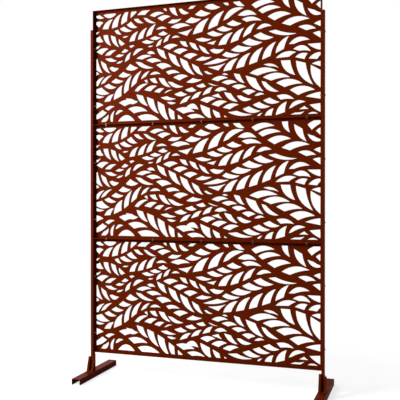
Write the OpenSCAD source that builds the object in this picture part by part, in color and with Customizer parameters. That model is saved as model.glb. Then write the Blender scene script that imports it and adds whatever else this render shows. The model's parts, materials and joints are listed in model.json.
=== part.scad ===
/* [Panels] */
// Width of one panel
panel_w = 1200; // [1200:10:1260]
// Height of one panel
panel_h = 600; // [600:10:640]
// Depth of a panel's folded edges
tray_d = 25; // [22:1:30]
// Thickness of the panel sheet
sheet_t = 1.5; // [1:0.1:2]
// Solid border left around the cut-outs at the sides
border_side = 9; // [8:1:20]
// Solid border left around the cut-outs at top and bottom
border_end = 16; // [12:1:25]

/* [Stand] */
// Height of the lowest panel above the floor
floor_gap = 130; // [125:5:160]
// Width of a post, seen from the front
post_w = 13; // [13:1:16]
// Wall of a post
post_wall = 1.2; // [1:0.1:1.5]
// Distance from the top of a post down to the top of the screen
post_drop = 100; // [90:5:110]
// Length of a foot
foot_l = 420; // [380:10:500]
// Width of a foot
foot_w = 46; // [46:1:56]
// Height of a foot
foot_h = 30; // [28:1:35]
// Distance of the screen's rear face behind the middle of the feet
rear_face_y = -12; // [-16:1:-8]

/* [Cut-outs] */
// Half the width of a rib between its two rows of leaflets
rib_half = 8; // [7:0.5:9]
// Share of a row that is leaflet and not web, measured along the rib
heel_share = 0.62; // [0.5:0.02:0.64]
// Bulge of a leaflet's rear edge, as a share of its length
rear_bow = 0.16; // [0.1:0.01:0.18]
// Hollow of a leaflet's front edge, as a share of its length
front_bow = 0.05; // [0.02:0.01:0.07]

/* [Hidden] */
$fn = 48;
panels = 3;
stack_h = panels * panel_h;
post_x = panel_w / 2;
post_mid_x = post_x + post_w / 2;
bolt_y = -tray_d / 2;

// Posts: the two lengths of each meet a little above half height
plate_t = 2;
post_bottom = foot_h + plate_t;
post_top = floor_gap + stack_h - post_drop;
post_joint = 1000;
splice_l = 360;
splice_gap = 0.2;

// Fastener sizes: [thread, hole it goes through, hexagon over its corners, height of head, height of nut]
THREAD = 0;
HOLE = 1;
HEX = 2;
HEAD = 3;
NUT = 4;
m5 = [5, 5.5, 9.2, 3.5, 4.7];
m6 = [6, 6.5, 11.5, 4, 5];
nut_play = 0.1;
thread_spare = 3;

// Places of the bolts
joint_pitch = 264;
joint_count = 5;
side_bolt_heights = [100, 400];

// Foot brackets: two cheeks with outward lips on a base plate
cheek_top_in = 115;
cheek_top_out = 106;
cheek_front_top = -27;
cheek_front_low = -52;
lip_w = 12;
bracket_bolt_z = 75;
foot_bolt_y = -39;

colour_steel = "#5a2a18";
colour_zinc = "#8a8c8e";

// ---- Leaf ornament, drawn in the plane of a panel from its bottom centre ----

function left_of(v) = [-v[1], v[0]];
function mix(a, b, t) = a + (b - a) * t;

// The points of a bowed edge from p up to, but not including, q
function bowed(p, q, bow, steps) =
    [for (i = [0:steps - 1]) let (t = i / steps) mix(p, q, t) + left_of(q - p) * 4 * bow * t * (1 - t)];

// One leaflet: its heel runs from rear to front, its rear edge swells and its front edge is hollow
module leaflet(rear, front, tip, bow = rear_bow) {
    away = cross(tip - rear, front - rear) > 0 ? -1 : 1;
    polygon(concat(bowed(rear, tip, away * bow, 7), bowed(tip, front, -away * front_bow, 4), [front]));
}

// A rib, [left end, right end, arch], runs from left to right, its middle raised by its arch
function rib_share(rib, x) = (x - rib[0][0]) / (rib[1][0] - rib[0][0]);
function rib_z(rib, x) =
    let (s = rib_share(rib, x)) mix(rib[0][1], rib[1][1], s) + 4 * rib[2] * s * (1 - s);
function rib_slope(rib, x) = rib_z(rib, x + 0.5) - rib_z(rib, x - 0.5);

// A point on the edge of a rib: side is 1 above the rib and -1 below it
function rib_edge(rib, x, side) = [x, rib_z(rib, x) + side * rib_half * norm([1, rib_slope(rib, x)])];

// A row of leaflets on one side of a rib: [how many, heels from, heels to, first tip, last tip]
module row(rib, leaves, side) {
    n = leaves[0];
    pitch = (leaves[2] - leaves[1]) / (n - 1 + heel_share);
    for (i = [0:n - 1]) {
        x = leaves[1] + i * pitch;
        tip = n > 1 ? mix(leaves[3], leaves[4], i / (n - 1)) : leaves[3];
        leaflet(rib_edge(rib, x, side), rib_edge(rib, x + heel_share * pitch, side), tip);
    }
}

module branch(rib, above, below) {
    for (leaves = above)
        row(rib, leaves, 1);
    for (leaves = below)
        row(rib, leaves, -1);
}

module branches_upper_left() {
    branch([[-610, 585], [-490, 600], 0], [], [[1, -600, -570, [-545, 565]]]);
    branch([[-610, 540], [-560, 490], 0], [[1, -600, -575, [-550, 540]]], []);
    branch([[-600, 510], [-350, 575], -40], [[4, -555, -360, [-495, 555], [-350, 625]]],
           [[1, -485, -465, [-445, 470]], [2, -455, -390, [-385, 485], [-355, 500]]]);
    branch([[-605, 465], [-420, 425], 35], [[1, -605, -585, [-570, 495]]],
           [[1, -605, -570, [-550, 440]], [2, -550, -480, [-505, 415], [-460, 405]],
            [1, -460, -425, [-445, 410]]]);
    branch([[-415, 420], [-190, 490], -16], [[3, -400, -275, [-350, 480], [-250, 510]]],
           [[3, -330, -210, [-260, 420], [-185, 455]]]);
    branch([[-360, 555], [-200, 500], 18],
           [[1, -355, -310, [-280, 585]], [2, -285, -215, [-205, 560], [-170, 540]]],
           [[1, -320, -300, [-250, 515]]]);
    branch([[-600, 385], [-420, 410], -40], [[2, -590, -510, [-520, 400], [-475, 390]]],
           [[1, -540, -505, [-470, 335]], [2, -480, -425, [-430, 365], [-405, 385]]]);
    branch([[-620, 330], [-570, 380], 0], [], [[1, -610, -585, [-555, 275]]]);
    branch([[-600, 380], [-450, 305], -18], [], [[1, -565, -535, [-510, 270]]]);
    branch([[-440, 305], [-350, 360], 0], [[1, -425, -400, [-390, 375]]], []);
    branch([[-370, 330], [-200, 250], 19], [[3, -360, -215, [-275, 345], [-165, 285]]],
           [[1, -365, -335, [-265, 285]]]);
    branch([[-255, 380], [-175, 415], 0], [[2, -250, -185, [-215, 430], [-170, 450]]], []);
}

module branches_lower_left() {
    branch([[-605, 195], [-390, 330], -24], [[2, -605, -540, [-545, 255], [-500, 260]]],
           [[1, -610, -560, [-515, 165]], [4, -545, -395, [-475, 195], [-350, 290]]]);
    branch([[-560, 115], [-390, 180], -22],
           [[1, -545, -510, [-490, 160]], [1, -490, -445, [-440, 205]], [1, -430, -405, [-385, 255]]], []);
    branch([[-400, 170], [-295, 240], 6], [[1, -390, -360, [-330, 275]], [1, -335, -305, [-285, 270]]], []);
    branch([[-470, 110], [-320, -5], 9], [[3, -460, -320, [-365, 110], [-230, 15]]], []);
    branch([[-390, 165], [-100, 25], 27], [[1, -370, -350, [-295, 205]]],
           [[3, -360, -205, [-295, 90], [-175, 5]], [1, -180, -150, [-140, -5]],
            [1, -130, -105, [-110, -5]]]);
    branch([[-320, 165], [-225, 145], 0], [[1, -315, -280, [-245, 190]], [1, -260, -230, [-205, 175]]], []);
    branch([[-320, 230], [-100, 190], 26], [[1, -155, -120, [-75, 230]]],
           [[1, -315, -300, [-295, 210]], [2, -285, -205, [-240, 205], [-170, 180]]]);
    branch([[-155, 150], [10, 200], 2], [], [[3, -150, 5, [-80, 140], [20, 175]]]);
}

module branches_upper_middle() {
    branch([[-190, 610], [-110, 575], 0], [], [[1, -180, -145, [-130, 540]]]);
    branch([[-100, 510], [50, 605], 0], [], [[3, -90, 45, [-5, 515], [95, 565]]]);
    branch([[-135, 425], [190, 520], -24], [[2, -50, 80, [35, 515], [115, 545]]],
           [[3, 25, 160, [110, 430], [205, 475]]]);
    branch([[-130, 420], [40, 360], 13], [], [[3, -120, 15, [-75, 380], [40, 335]]]);
    branch([[-250, 395], [60, 235], 8], [[3, -210, -65, [-130, 390], [-25, 335]]],
           [[3, -245, -80, [-190, 325], [-40, 235]], [1, -55, -20, [5, 230]]]);
    branch([[20, 375], [240, 410], -22], [[3, 85, 250, [160, 435], [275, 470]]], []);
    branch([[140, 350], [310, 435], 6], [], [[3, 150, 300, [255, 355], [365, 395]]]);
}

module branches_lower_middle() {
    branch([[45, 200], [250, 105], 9], [[4, 50, 240, [135, 210], [275, 135]]], []);
    branch([[105, 150], [200, 120], 5], [], [[1, 115, 150, [185, 90]]]);
    branch([[-130, 80], [60, 140], 0], [[3, -120, 40, [-60, 130], [55, 170]]], []);
    branch([[-15, 100], [150, 45], -5], [[3, -10, 145, [70, 110], [190, 75]]], []);
    branch([[-15, 95], [140, 20], 4], [],
           [[1, -10, 40, [50, 10]], [1, 55, 90, [105, 0]], [1, 115, 135, [125, 10]]]);
    branch([[-145, 60], [-45, 0], 0], [[1, -140, -100, [-40, 50]], [1, -80, -55, [15, 15]]], []);
    branch([[205, 60], [355, 115], 0], [], [[3, 210, 345, [300, 40], [395, 80]]]);
}

module branches_right() {
    branch([[100, 235], [480, 360], -23], [[5, 110, 415, [185, 305], [440, 395]]], []);
    branch([[160, 240], [490, 95], 21], [[4, 245, 485, [385, 230], [565, 130]]],
           [[1, 165, 195, [220, 180]], [1, 225, 275, [315, 135]]]);
    branch([[380, 285], [610, 220], 24], [[1, 375, 440, [475, 315]], [1, 470, 515, [530, 305]]],
           [[2, 400, 520, [470, 205], [555, 155]], [1, 545, 605, [605, 130]]]);
    branch([[245, 560], [470, 430], -22],
           [[2, 255, 310, [370, 565], [400, 535]], [1, 335, 370, [450, 500]],
            [1, 405, 445, [540, 470]]], []);
    branch([[395, 610], [600, 485], 13], [], [[1, 405, 435, [445, 530]], [1, 465, 505, [525, 485]]]);
    branch([[315, 5], [470, 45], -13], [[1, 320, 355, [365, 50]], [1, 375, 420, [430, 80]]], []);
}

// Single leaflets in the gaps between the branches: [rear heel, front heel, tip, bow if it has its own]
fillers = [
    [[-550, 580], [-500, 595], [-475, 580], .25], [[-440, 455], [-425, 460], [-405, 460]],
    [[-250, 480], [-230, 480], [-190, 480], .22], [[-400, 405], [-390, 395], [-370, 405]],
    [[-610, 400], [-590, 415], [-565, 425]], [[-475, 320], [-460, 330], [-435, 335]],
    [[-380, 355], [-365, 360], [-320, 385], .28], [[-300, 365], [-285, 355], [-255, 355], .25],
    [[-295, 395], [-285, 400], [-265, 400]], [[-610, 285], [-605, 255], [-575, 270]],
    [[-610, 155], [-600, 165], [-545, 150]], [[-285, 250], [-260, 250], [-225, 250], .24],
    [[-420, 135], [-385, 130], [-350, 115], .3], [[-205, 150], [-190, 155], [-160, 165]],
    [[-640, 110], [-615, 70], [-550, 105]], [[-540, 85], [-520, 75], [-485, 95]],
    [[-625, 30], [-555, 80], [-530, 65], .12], [[-565, 15], [-550, 35], [-520, 55], .3],
    [[-505, 10], [-495, 10], [-485, 75], .2], [[-480, 50], [-465, 55], [-435, 70], .3],
    [[-470, 10], [-440, 10], [-365, 10], .36], [[-210, 585], [-195, 590], [-190, 570]],
    [[-125, 575], [-110, 575], [-70, 550], .28], [[-75, 570], [-50, 570], [-20, 590]],
    [[-185, 510], [-160, 525], [-110, 525]], [[-170, 485], [-130, 475], [-65, 485]],
    [[-130, 455], [-80, 435], [-50, 470], -.04], [[110, 495], [135, 505], [215, 550], .24],
    [[-35, 415], [0, 420], [50, 410]], [[25, 390], [60, 380], [75, 400], 0],
    [[340, 425], [375, 430], [480, 405], .1], [[280, 440], [300, 440], [355, 450], .25],
    [[40, 355], [60, 360], [115, 355], .27], [[105, 325], [125, 340], [195, 325]],
    [[-165, 430], [-145, 430], [-120, 430], .25], [[-185, 210], [-160, 205], [-100, 180], .2],
    [[-195, 260], [-180, 245], [-120, 250]], [[-85, 200], [-50, 220], [0, 210], .1],
    [[30, 190], [50, 185], [85, 175], .1], [[65, 150], [90, 145], [130, 150], .25],
    [[180, 120], [200, 120], [255, 100], .24], [[50, 125], [85, 135], [105, 110], 0],
    [[135, 40], [180, 45], [260, 25], .1], [[-85, 75], [-60, 65], [-20, 60], .36],
    [[-190, 105], [-165, 105], [-140, 100], .2], [[-225, 130], [-190, 135], [-140, 120], .12],
    [[-35, 310], [0, 325], [50, 320], .12], [[5, 285], [80, 310], [140, 305], .07],
    [[30, 270], [85, 250], [125, 285], -.04], [[440, 355], [465, 355], [540, 370], .24],
    [[105, 230], [120, 225], [135, 225], .2], [[305, 185], [325, 180], [390, 130], .2],
    [[535, 280], [575, 275], [605, 305]], [[550, 255], [590, 240], [640, 245]],
    [[560, 445], [590, 430], [640, 445]], [[555, 400], [590, 375], [640, 385]],
    [[570, 535], [590, 515], [640, 550]], [[530, 565], [550, 540], [615, 580]],
    [[530, 520], [560, 510], [605, 490], .25], [[485, 435], [525, 415], [570, 420]],
    [[460, 330], [490, 320], [545, 315], .27], [[530, 350], [590, 350], [620, 315], .1],
    [[520, 100], [595, 85], [650, 115], .08], [[380, 110], [400, 90], [465, 90]],
    [[270, 115], [290, 115], [320, 120], .22], [[440, 45], [455, 50], [520, 75], .26],
    [[445, 15], [470, 25], [515, 30]], [[490, 40], [515, 55], [535, 40], 0],
    [[540, 60], [590, 65], [600, 20], .06], [[530, 15], [550, 15], [580, 15], .2],
    [[280, 10], [295, 15], [310, 30]], [[110, 585], [130, 595], [140, 570]],
    [[160, 585], [190, 590], [220, 560]], [[205, 495], [230, 480], [305, 480]],
    [[185, 515], [220, 510], [280, 510], .26], [[315, 265], [345, 255], [390, 245], .15],
    [[-375, 545], [-350, 545], [-320, 520]], [[-515, 300], [-500, 305], [-460, 295], .35],
    [[10, 250], [25, 250], [55, 235]]
];

module leaf_ornament() {
    branches_upper_left();
    branches_lower_left();
    branches_upper_middle();
    branches_lower_middle();
    branches_right();
    for (f = fillers)
        leaflet(f[0], f[1], f[2], is_undef(f[3]) ? rear_bow : f[3]);
}

// ---- Panels ----

module pierced_sheet() {
    field = [panel_w - 2 * border_side, panel_h - 2 * border_end];
    difference() {
        translate([-panel_w / 2, 0])
            square([panel_w, panel_h]);
        intersection() {
            translate([-field[0] / 2, border_end])
                square(field);
            leaf_ornament();
        }
    }
}

// A panel stands on its lower edge, its edges folded forward from the sheet
module panel() {
    flange_y = -tray_d;
    difference() {
        union() {
            rotate([90, 0, 0])
                linear_extrude(sheet_t)
                    pierced_sheet();
            for (z = [0, panel_h - sheet_t])
                translate([-panel_w / 2, flange_y, z])
                    cube([panel_w, tray_d - sheet_t, sheet_t]);
            for (x = [-panel_w / 2, panel_w / 2 - sheet_t])
                translate([x, flange_y, 0])
                    cube([sheet_t, tray_d - sheet_t, panel_h]);
        }
        for (x = joint_bolt_xs())
            for (z = [0, panel_h - sheet_t])
                translate([x, bolt_y, z - 1])
                    cylinder(d = m5[HOLE], h = sheet_t + 2);
        for (z = side_bolt_heights)
            for (x = [-panel_w / 2, panel_w / 2 - sheet_t])
                translate([x - 1, bolt_y, z])
                    rotate([0, 90, 0])
                        cylinder(d = m5[HOLE], h = sheet_t + 2);
    }
}

function joint_bolt_xs() = [for (i = [0:joint_count - 1]) (i - (joint_count - 1) / 2) * joint_pitch];

module panel_at(level) {
    color(colour_steel)
        translate([0, rear_face_y, floor_gap + level * panel_h])
            panel();
}

module panel_bottom() { panel_at(0); }
module panel_middle() { panel_at(1); }
module panel_top() { panel_at(2); }

// ---- Posts ----

function side_bolt_zs() =
    [for (level = [0:panels - 1]) for (z = side_bolt_heights) floor_gap + level * panel_h + z];

// What is drilled through a post and its splice along X
module post_bores() {
    for (z = concat(side_bolt_zs(), [bracket_bolt_z]))
        translate([post_x - 1, bolt_y, z])
            rotate([0, 90, 0])
                cylinder(d = m5[HOLE], h = post_w + 2);
}

module tube(x0, x1, y0, y1, z0, z1, wall) {
    difference() {
        translate([x0, y0, z0])
            cube([x1 - x0, y1 - y0, z1 - z0]);
        translate([x0 + wall, y0 + wall, z0 - 1])
            cube([x1 - x0 - 2 * wall, y1 - y0 - 2 * wall, z1 - z0 + 2]);
    }
}

module post_length(z0, z1) {
    color(colour_steel)
        translate([0, rear_face_y, 0])
            difference() {
                tube(post_x, post_x + post_w, -tray_d, 0, z0, z1, post_wall);
                post_bores();
            }
}

module post_splice() {
    inset = post_wall + splice_gap / 2;
    color(colour_zinc)
        translate([0, rear_face_y, 0])
            difference() {
                tube(post_x + inset, post_x + post_w - inset, -tray_d + inset, -inset,
                     post_joint - splice_l / 2, post_joint + splice_l / 2, post_wall);
                post_bores();
            }
}

module on_left() { mirror([1, 0, 0]) children(); }

module post_right_lower() { post_length(post_bottom, post_joint); }
module post_right_upper() { post_length(post_joint, post_top); }
module post_left_lower() { on_left() post_right_lower(); }
module post_left_upper() { on_left() post_right_upper(); }
module post_splice_right() { post_splice(); }
module post_splice_left() { on_left() post_splice(); }

// ---- Feet and their brackets ----

module foot() {
    color(colour_steel)
        difference() {
            translate([post_mid_x - foot_w / 2, -foot_l / 2, 0])
                cube([foot_w, foot_l, foot_h]);
            translate([post_mid_x - foot_w / 2 + plate_t, -foot_l / 2 - 1, -1])
                cube([foot_w - 2 * plate_t, foot_l + 2, foot_h - plate_t + 1]);
            translate([post_mid_x, rear_face_y + foot_bolt_y, 0])
                cylinder(d = m6[HOLE], h = foot_h + 1);
        }
}

module foot_right() { foot(); }
module foot_left() { on_left() foot(); }

// A slab of some width along X with a slanting front edge; depth is its size along Y at foot and top
module cheek(x, width, top, depth) {
    low = foot_h;
    translate([x, 0, 0])
        rotate([90, 0, 90])
            linear_extrude(width)
                polygon([[cheek_front_low, low], [cheek_front_low + depth[0], low],
                         [cheek_front_top + depth[1], top], [cheek_front_top, top]]);
}

module foot_bracket() {
    full = [-cheek_front_low, -cheek_front_top];
    lip = [plate_t, plate_t];
    inner_x = post_x - plate_t;
    outer_x = post_x + post_w;
    color(colour_steel)
        translate([0, rear_face_y, 0])
            difference() {
                union() {
                    cheek(inner_x, plate_t, cheek_top_in, full);
                    cheek(post_x - lip_w, lip_w, cheek_top_in, lip);
                    cheek(outer_x, plate_t, cheek_top_out, full);
                    cheek(outer_x, lip_w, cheek_top_out, lip);
                    translate([inner_x, cheek_front_low, foot_h])
                        cube([post_w + 2 * plate_t, -cheek_front_low, plate_t]);
                }
                translate([inner_x - 1, bolt_y, bracket_bolt_z])
                    rotate([0, 90, 0])
                        cylinder(d = m5[HOLE], h = post_w + 2 * plate_t + 2);
                translate([post_mid_x, foot_bolt_y, foot_h - 1])
                    cylinder(d = m6[HOLE], h = plate_t + 2);
            }
}

module foot_bracket_right() { foot_bracket(); }
module foot_bracket_left() { on_left() foot_bracket(); }

// ---- Fasteners ----

// A bolt of some size points along +Z, with its head below the origin
module bolt(size, grip) {
    translate([0, 0, -size[HEAD]])
        cylinder(d = size[HEX], h = size[HEAD], $fn = 6);
    cylinder(d = size[THREAD], h = grip + size[NUT] + thread_spare);
}

module nut(size) {
    difference() {
        cylinder(d = size[HEX], h = size[NUT], $fn = 6);
        translate([0, 0, -1])
            cylinder(d = size[THREAD] + nut_play, h = size[NUT] + 2);
    }
}

// Joint bolts drop through the two folded edges from above
module joint_bolts(level) {
    color(colour_zinc)
        for (x = joint_bolt_xs())
            translate([x, rear_face_y + bolt_y, floor_gap + level * panel_h + sheet_t])
                mirror([0, 0, 1])
                    bolt(m5, 2 * sheet_t);
}

module joint_nuts(level) {
    color(colour_zinc)
        for (x = joint_bolt_xs())
            translate([x, rear_face_y + bolt_y, floor_gap + level * panel_h - sheet_t - m5[NUT]])
                nut(m5);
}

module joint_bolts_lower() { joint_bolts(1); }
module joint_bolts_upper() { joint_bolts(2); }
module joint_nuts_lower() { joint_nuts(1); }
module joint_nuts_upper() { joint_nuts(2); }

// Places a bolt that comes in from the outside at x, pointing inwards
module inward(x, z) {
    translate([x, rear_face_y + bolt_y, z])
        rotate([0, -90, 0])
            children();
}

module side_bolts() {
    color(colour_zinc)
        for (z = side_bolt_zs())
            inward(post_x + post_w, z)
                bolt(m5, post_w + sheet_t);
}

module side_nuts() {
    color(colour_zinc)
        for (z = side_bolt_zs())
            inward(post_x - sheet_t, z)
                nut(m5);
}

module side_bolts_right() { side_bolts(); }
module side_bolts_left() { on_left() side_bolts(); }
module side_nuts_right() { side_nuts(); }
module side_nuts_left() { on_left() side_nuts(); }

module bracket_bolt_right() {
    color(colour_zinc)
        inward(post_x + post_w + plate_t, bracket_bolt_z)
            bolt(m5, post_w + 2 * plate_t);
}

module bracket_nut_right() {
    color(colour_zinc)
        inward(post_x - plate_t, bracket_bolt_z)
            nut(m5);
}

module bracket_bolt_left() { on_left() bracket_bolt_right(); }
module bracket_nut_left() { on_left() bracket_nut_right(); }

module foot_bolt_right() {
    color(colour_zinc)
        translate([post_mid_x, rear_face_y + foot_bolt_y, foot_h + plate_t])
            mirror([0, 0, 1])
                bolt(m6, 2 * plate_t);
}

module foot_nut_right() {
    color(colour_zinc)
        translate([post_mid_x, rear_face_y + foot_bolt_y, foot_h - plate_t - m6[NUT]])
            nut(m6);
}

module foot_bolt_left() { on_left() foot_bolt_right(); }
module foot_nut_left() { on_left() foot_nut_right(); }

panel_bottom();
panel_middle();
panel_top();
post_left_lower();
post_left_upper();
post_right_lower();
post_right_upper();
post_splice_left();
post_splice_right();
foot_left();
foot_right();
foot_bracket_left();
foot_bracket_right();
joint_bolts_lower();
joint_bolts_upper();
joint_nuts_lower();
joint_nuts_upper();
side_bolts_left();
side_bolts_right();
side_nuts_left();
side_nuts_right();
bracket_bolt_left();
bracket_bolt_right();
bracket_nut_left();
bracket_nut_right();
foot_bolt_left();
foot_bolt_right();
foot_nut_left();
foot_nut_right();
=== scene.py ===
"""A free-standing privacy screen: three leaf-pierced steel panels between two posts on channel feet."""

import json
import math

import bmesh
import bpy
from mathutils import Matrix, Vector


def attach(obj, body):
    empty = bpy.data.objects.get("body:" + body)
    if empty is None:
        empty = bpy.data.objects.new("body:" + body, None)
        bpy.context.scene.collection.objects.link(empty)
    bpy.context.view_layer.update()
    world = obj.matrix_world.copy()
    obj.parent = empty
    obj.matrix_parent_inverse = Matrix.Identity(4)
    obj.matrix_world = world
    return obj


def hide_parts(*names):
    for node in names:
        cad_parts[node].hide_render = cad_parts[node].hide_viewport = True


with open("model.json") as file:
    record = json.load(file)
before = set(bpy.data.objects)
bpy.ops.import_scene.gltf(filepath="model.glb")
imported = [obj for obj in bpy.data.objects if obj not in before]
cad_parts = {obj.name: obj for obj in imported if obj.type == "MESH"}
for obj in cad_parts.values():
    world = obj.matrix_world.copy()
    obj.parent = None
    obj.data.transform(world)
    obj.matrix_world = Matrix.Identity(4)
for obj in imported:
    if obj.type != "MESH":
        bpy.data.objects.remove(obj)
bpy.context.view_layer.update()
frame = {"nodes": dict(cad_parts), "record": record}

MM = 0.001
CAD = frame["nodes"]

# Where the camera stands, found from the straight edges of the screen
CAMERA_AT = (1.0428, -3.1637, 0.9522)
CAMERA_TURN = math.radians(18.5)
CAMERA_PITCH = math.radians(-0.31)
FRAME_PX = 400
FOCAL_PX = 659.9
SENSOR_MM = 36

# The finishes: linear colours, and how strongly the coat mirrors light
COAT_RED = (0.130, 0.0075, 0.0001, 1)
COAT_BROWN = (0.098, 0.0140, 0.0008, 1)
COAT_GLOSS = 0.008
ZINC_PALE = (0.20, 0.195, 0.19, 1)
ZINC_DULL = (0.11, 0.107, 0.104, 1)
WHITE = (1, 1, 1, 1)

# The even light from all around
AMBIENT = 0.07

# The floor: its colour, how far it is lifted towards white, its size, and where it fades to plain white
FLOOR_COLOUR = (0.40, 0.40, 0.40, 1)
FLOOR_LIFT = 0.76
FLOOR_ACROSS_M = 40
FADE_FROM_M = 0.85
FADE_TO_M = 1.35

# Noise below the first share is all one colour, and above the second all the other
BLEND_FROM = 0.3
BLEND_TO = 0.7


# ---- Materials -----------------------------------------------------------------------------------

class Tree:
    """The nodes of a material or world, and short ways to add and link them."""

    def __init__(self, owner):
        owner.use_nodes = True
        self.nodes = owner.node_tree.nodes
        self.link = owner.node_tree.links.new

    def maths(self, operation, first, second, clamp=False):
        """A sum or product of an output with another output or a plain number."""
        node = self.nodes.new("ShaderNodeMath")
        node.operation = operation
        node.use_clamp = clamp
        self.link(first, node.inputs[0])
        if isinstance(second, float):
            node.inputs[1].default_value = second
        else:
            self.link(second, node.inputs[1])
        return node.outputs[0]

    def seen_directly(self):
        """1 for rays from the camera, and for what shows in gloss or through glass."""
        path = self.nodes.new("ShaderNodeLightPath").outputs
        glossy = self.maths("ADD", path["Is Camera Ray"], path["Is Glossy Ray"], clamp=True)
        return self.maths("ADD", glossy, path["Is Transmission Ray"], clamp=True)

    def further_out(self, near_m, far_m):
        """0 up to near_m from the middle, 1 from far_m on, and a smooth rise between."""
        place = self.nodes.new("ShaderNodeTexCoord")
        away = self.nodes.new("ShaderNodeVectorMath")
        away.operation = "LENGTH"
        self.link(place.outputs["Object"], away.inputs[0])
        fade = self.nodes.new("ShaderNodeMapRange")
        fade.interpolation_type = "SMOOTHSTEP"
        fade.inputs["From Min"].default_value = near_m
        fade.inputs["From Max"].default_value = far_m
        self.link(away.outputs["Value"], fade.inputs["Value"])
        return fade.outputs["Result"]


class Finish(Tree):
    """A material in the making: a principled shader and the nodes that feed it."""

    def __init__(self, name):
        self.material = bpy.data.materials.new(name)
        super().__init__(self.material)
        self.shader = self.nodes["Principled BSDF"]
        self.place = self.nodes.new("ShaderNodeTexCoord").outputs["Object"]

    def noise(self, size_mm, detail=3, roughness=0.5):
        """Noise whose blots are about size_mm across."""
        node = self.nodes.new("ShaderNodeTexNoise")
        node.inputs["Scale"].default_value = 1 / (size_mm * MM)
        node.inputs["Detail"].default_value = detail
        node.inputs["Roughness"].default_value = roughness
        self.link(self.place, node.inputs["Vector"])
        return node.outputs["Fac"]

    def colours(self, share, low, high):
        """A colour that goes from low to high as the share grows."""
        node = self.nodes.new("ShaderNodeValToRGB")
        first, last = node.color_ramp.elements
        first.position, last.position = BLEND_FROM, BLEND_TO
        first.color, last.color = low, high
        self.link(share, node.inputs["Fac"])
        return node.outputs["Color"]

    def numbers(self, share, low, high):
        """A number that goes from low to high as the share grows."""
        return self.colours(share, (low, low, low, 1), (high, high, high, 1))

    def bump(self, height, depth_mm, strength):
        """Makes the surface look raised by the height, without changing its shape."""
        node = self.nodes.new("ShaderNodeBump")
        node.inputs["Strength"].default_value = strength
        node.inputs["Distance"].default_value = depth_mm * MM
        self.link(height, node.inputs["Height"])
        self.feed("Normal", node.outputs["Normal"])

    def feed(self, socket, output):
        """Links an output to one of the shader's sockets."""
        self.link(output, self.shader.inputs[socket])


def powder_coat():
    """Rust-brown powder coat: a slow drift from red to brown, a fine pebbled skin, satin."""
    coat = Finish("powder_coat")
    drift = coat.noise(size_mm=22, detail=4, roughness=0.6)
    coat.feed("Base Color", coat.colours(drift, COAT_RED, COAT_BROWN))
    coat.feed("Roughness", coat.numbers(coat.noise(size_mm=9), low=0.40, high=0.55))
    coat.shader.inputs["Specular IOR Level"].default_value = COAT_GLOSS
    coat.bump(coat.noise(size_mm=1.1, detail=2), depth_mm=0.08, strength=0.8)
    return coat.material


def zinc():
    """Zinc-plated steel: dull patches on bare metal, with a fine grain."""
    plate = Finish("zinc_plate")
    plate.shader.inputs["Metallic"].default_value = 1
    patches = plate.noise(size_mm=2.5, detail=4)
    plate.feed("Base Color", plate.colours(patches, ZINC_DULL, ZINC_PALE))
    plate.feed("Roughness", plate.numbers(plate.noise(size_mm=1.2), low=0.28, high=0.5))
    plate.bump(plate.noise(size_mm=0.35, detail=2), depth_mm=0.02, strength=0.4)
    return plate.material


# ---- Stage ---------------------------------------------------------------------------------------

def white_world():
    """White wherever it is seen, and a dim even light otherwise."""
    world = bpy.data.worlds.new("studio")
    tree = Tree(world)
    strength = tree.nodes.new("ShaderNodeMapRange")
    strength.inputs["To Min"].default_value = AMBIENT
    strength.inputs["To Max"].default_value = 1.0
    tree.link(tree.seen_directly(), strength.inputs["Value"])
    background = tree.nodes["Background"]
    background.inputs["Color"].default_value = WHITE
    tree.link(strength.outputs["Result"], background.inputs["Strength"])
    bpy.context.scene.world = world


def floor_finish():
    """Pale floor that keeps soft shadows near the feet and turns into plain white further out."""
    material = bpy.data.materials.new("pale_floor")
    tree = Tree(material)
    tree.nodes.remove(tree.nodes["Principled BSDF"])
    seen = tree.seen_directly()

    diffuse = tree.nodes.new("ShaderNodeBsdfDiffuse")
    diffuse.inputs["Color"].default_value = FLOOR_COLOUR
    glow = tree.nodes.new("ShaderNodeEmission")
    tree.link(tree.maths("MULTIPLY", seen, FLOOR_LIFT), glow.inputs["Strength"])
    near = tree.nodes.new("ShaderNodeAddShader")
    tree.link(diffuse.outputs[0], near.inputs[0])
    tree.link(glow.outputs[0], near.inputs[1])

    white = tree.nodes.new("ShaderNodeEmission")
    whiteness = tree.maths("MULTIPLY", tree.further_out(FADE_FROM_M, FADE_TO_M), seen)
    blend = tree.nodes.new("ShaderNodeMixShader")
    tree.link(whiteness, blend.inputs[0])
    tree.link(near.outputs[0], blend.inputs[1])
    tree.link(white.outputs[0], blend.inputs[2])
    tree.link(blend.outputs[0], tree.nodes["Material Output"].inputs["Surface"])
    return material


def lay_floor():
    """A wide floor under the feet."""
    bpy.ops.object.select_all(action="DESELECT")
    bpy.ops.mesh.primitive_plane_add(size=FLOOR_ACROSS_M, location=(0, 0, 0))
    floor = bpy.context.object
    floor.name = "floor"
    floor.data.materials.append(floor_finish())


def softbox(name, at, aim, size_m, watts):
    """A square lamp that faces a point and doesn't show itself."""
    light = bpy.data.lights.new(name, "AREA")
    light.shape = "SQUARE"
    light.size = size_m
    light.energy = watts
    lamp = bpy.data.objects.new(name, light)
    bpy.context.scene.collection.objects.link(lamp)
    lamp.location = at
    lamp.visible_camera = False
    way = lamp.location - Vector(aim)
    lamp.rotation_euler = way.to_track_quat("Z", "Y").to_euler()


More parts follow.
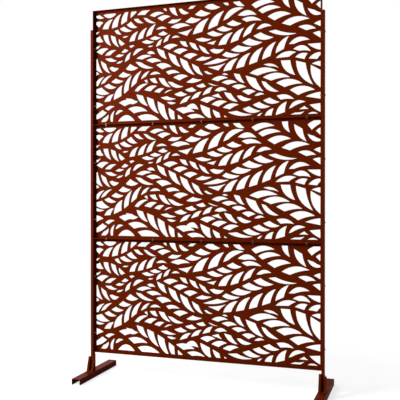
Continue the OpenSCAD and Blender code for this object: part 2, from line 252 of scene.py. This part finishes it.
def set_camera():
    """The camera at its place, with the lens that gives the named focal length in pixels."""
    camera = bpy.data.cameras.new("camera")
    camera.sensor_width = SENSOR_MM
    camera.lens = FOCAL_PX / FRAME_PX * SENSOR_MM
    holder = bpy.data.objects.new("camera", camera)
    bpy.context.scene.collection.objects.link(holder)
    holder.location = CAMERA_AT
    holder.rotation_euler = (math.pi / 2 + CAMERA_PITCH, 0, CAMERA_TURN)
    bpy.context.scene.camera = holder


# ---- Bolts and nuts ------------------------------------------------------------------------------

# Two axes by number, and the one each fastener lies along, by the first word of its name
UP = 2
ACROSS = 0
FASTENER_AXIS = {"joint": UP, "foot": UP, "side": ACROSS, "bracket": ACROSS}
FASTENER_WORDS = {"bolt", "bolts", "nut", "nuts"}

# A hexagon's corners are turned off from this share of its corner radius outwards, at this angle
CHAMFER_START = 0.84
CHAMFER_ANGLE = math.radians(30)

# A thread's pitch as a share of its diameter, and its root and tip as shares of its radius
THREAD_PITCH = 0.16
THREAD_ROOT = 0.83
THREAD_TIP = 0.76

# How many sides the six-sided and the round forms have
HEXAGON = 6
ROD_SIDES = 16
BORE_SIDES = 32
CONE_SIDES = 64

# Edges that turn by less than this are shaded smooth
SMOOTH_BELOW = math.radians(30)

# Points nearer to each other than this are one point
SAME_POINT_M = 1e-6

# Points further out than this share of the corner radius are corners of the hexagon
CORNER_FROM = 0.97


def work_on(piece):
    """Selects one piece alone and makes it the active one."""
    bpy.ops.object.select_all(action="DESELECT")
    piece.select_set(True)
    bpy.context.view_layer.objects.active = piece


def cylinder(sides, radius, low, high):
    """An upright cylinder or prism around Z, with a corner on X."""
    bpy.ops.object.select_all(action="DESELECT")
    bpy.ops.mesh.primitive_cylinder_add(vertices=sides, radius=radius, depth=high - low,
                                        location=(0, 0, (low + high) / 2), rotation=(0, 0, math.pi / 2))
    bpy.ops.object.transform_apply(location=True, rotation=True, scale=True)
    return bpy.context.object


def combine(piece, tool, operation):
    """Cuts a tool from a piece, keeps what they share, or welds the two, and takes the tool away."""
    work_on(piece)
    step = piece.modifiers.new("step", "BOOLEAN")
    step.operation = operation
    step.object = tool
    bpy.ops.object.modifier_apply(modifier=step.name)
    bpy.data.objects.remove(tool)


def turn_off_corners(hexagon, corner, end, outward):
    """Keeps what a hexagon shares with a cone that narrows past one end, as on a real bolt head."""
    start = corner * CHAMFER_START

    # How far the cone reaches into the hexagon and past its end
    inside, outside = 2 * corner, corner / 4

    spread = 1 / math.tan(CHAMFER_ANGLE)
    bpy.ops.object.select_all(action="DESELECT")
    bpy.ops.mesh.primitive_cone_add(vertices=CONE_SIDES, radius1=start + inside * spread,
                                    radius2=start - outside * spread, depth=inside + outside,
                                    location=(0, 0, end - outward * (inside - outside) / 2),
                                    rotation=(0 if outward > 0 else math.pi, 0, 0))
    combine(hexagon, bpy.context.object, "INTERSECT")


def raise_end(height, share):
    """Draws the chosen end of a rod out by a height and resizes it by a share."""
    bpy.ops.mesh.extrude_region_move(TRANSFORM_OT_translate={"value": (0, 0, height)})
    bpy.ops.transform.resize(value=(share, share, 1))


def threaded_rod(radius, low, high):
    """A round rod with its thread as a row of even grooves, and a narrower tip."""
    pitch = 2 * radius * THREAD_PITCH
    tip_from = high - pitch
    turns = int((tip_from - low) / pitch) - 1
    rod = cylinder(ROD_SIDES, radius, low, tip_from - turns * pitch)
    bpy.ops.object.mode_set(mode="EDIT")
    bpy.ops.mesh.select_all(action="DESELECT")
    bpy.ops.object.mode_set(mode="OBJECT")
    end = max(rod.data.polygons, key=lambda face: face.center.z)
    end.select = True
    bpy.ops.object.mode_set(mode="EDIT")
    for _ in range(turns):
        raise_end(pitch / 2, THREAD_ROOT)
        raise_end(pitch / 2, 1 / THREAD_ROOT)
    raise_end(pitch, THREAD_TIP)
    bpy.ops.object.mode_set(mode="OBJECT")
    return rod


def make_bolt(size):
    """A bolt that points up, with its head below the origin."""
    bolt = cylinder(HEXAGON, size["corner"], -size["head"], 0)
    turn_off_corners(bolt, size["corner"], -size["head"], -1)
    combine(bolt, threaded_rod(size["inner"], -size["head"] / 2, size["shaft"]), "UNION")
    return bolt


def make_nut(size):
    """A nut that hangs below the origin, bored right through."""
    nut = cylinder(HEXAGON, size["corner"], -size["head"], 0)
    turn_off_corners(nut, size["corner"], 0, 1)
    turn_off_corners(nut, size["corner"], -size["head"], -1)
    combine(nut, cylinder(BORE_SIDES, size["inner"], -2 * size["head"], size["head"]), "DIFFERENCE")
    return nut


def solids(node):
    """The corners of each separate solid in a node of the frame."""
    mesh = bmesh.new()
    mesh.from_mesh(CAD[node].data)
    bmesh.ops.remove_doubles(mesh, verts=mesh.verts, dist=SAME_POINT_M)
    left = set(mesh.verts)
    for start in mesh.verts:
        if start not in left:
            continue
        left.remove(start)
        solid = []
        to_visit = [start]
        while to_visit:
            corner = to_visit.pop()
            solid.append(corner.co.copy())
            for edge in corner.link_edges:
                other = edge.other_vert(corner)
                if other in left:
                    left.remove(other)
                    to_visit.append(other)
        yield solid
    mesh.free()


def measure(solid, axis):
    """Reads a fastener's sizes from its solid, and the turn and move that bring a made one there."""
    across = [i for i in range(3) if i != axis]
    low = [min(point[i] for point in solid) for i in range(3)]
    high = [max(point[i] for point in solid) for i in range(3)]
    seat = [(low[i] + high[i]) / 2 for i in range(3)]
    radii = [math.hypot(*(point[i] - seat[i] for i in across)) for point in solid]
    corner = max(radii)
    head = [point[axis] for point, radius in zip(solid, radii) if radius > CORNER_FROM * corner]
    head_low, head_high = min(head), max(head)
    points_up = high[axis] - head_high >= head_low - low[axis]
    seat[axis] = head_high if points_up else head_low
    shaft = high[axis] - head_high if points_up else head_low - low[axis]
    size = {"corner": corner, "inner": min(radii), "head": head_high - head_low, "shaft": shaft}

    z_axis = Vector((0, 0, 0))
    z_axis[axis] = 1 if points_up else -1
    x_axis = Vector((1, 0, 0)) if axis == UP else Vector((0, 0, 1))
    turn = Matrix((x_axis, z_axis.cross(x_axis), z_axis)).transposed().to_4x4()
    return size, Matrix.Translation(seat) @ turn


def fit_fasteners(node, material):
    """Replaces a node's plain bolts or nuts by ones of their size, with turned-off corners and a thread."""
    axis = FASTENER_AXIS[node.split("_")[0]]
    measured = [measure(solid, axis) for solid in solids(node)]
    size, first_place = measured[0]
    make, kind = (make_nut, "chamfered") if "nut" in node else (make_bolt, "threaded")
    piece = make(size)
    work_on(piece)
    bpy.ops.object.shade_smooth_by_angle(angle=SMOOTH_BELOW)
    for _, place in measured[1:]:
        twin = piece.copy()
        twin.data = piece.data.copy()
        bpy.context.scene.collection.objects.link(twin)
        twin.data.transform(place)
        twin.select_set(True)
    piece.data.transform(first_place)
    if len(measured) > 1:
        bpy.ops.object.join()
    piece.name = node + "_" + kind
    piece.data.materials.clear()
    piece.data.materials.append(material)
    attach(piece, "root")
    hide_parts(node)


# ---- The screen ----------------------------------------------------------------------------------

def dress(node, material):
    """Gives a node of the frame a material."""
    mesh = CAD[node].data
    mesh.materials.clear()
    mesh.materials.append(material)


finishes = {"powder_coat": powder_coat(), "zinc": zinc()}
for part in frame["record"]["subparts"]:
    dress(part["node"], finishes[part["material_slot"]])
for node in sorted(CAD):
    if FASTENER_WORDS & set(node.split("_")):
        fit_fasteners(node, finishes["zinc"])

white_world()
lay_floor()
softbox("key", at=(-2.4, -2.4, 2.3), aim=(0, 0, 1.2), size_m=1.4, watts=185)
softbox("fill", at=(3.0, -2.6, 2.0), aim=(0, 0, 0.9), size_m=1.8, watts=8)
softbox("rear", at=(-1.6, 3.4, 2.4), aim=(0, 0, 1.0), size_m=1.8, watts=110)
set_camera()
bpy.context.scene.view_settings.view_transform = "Standard"
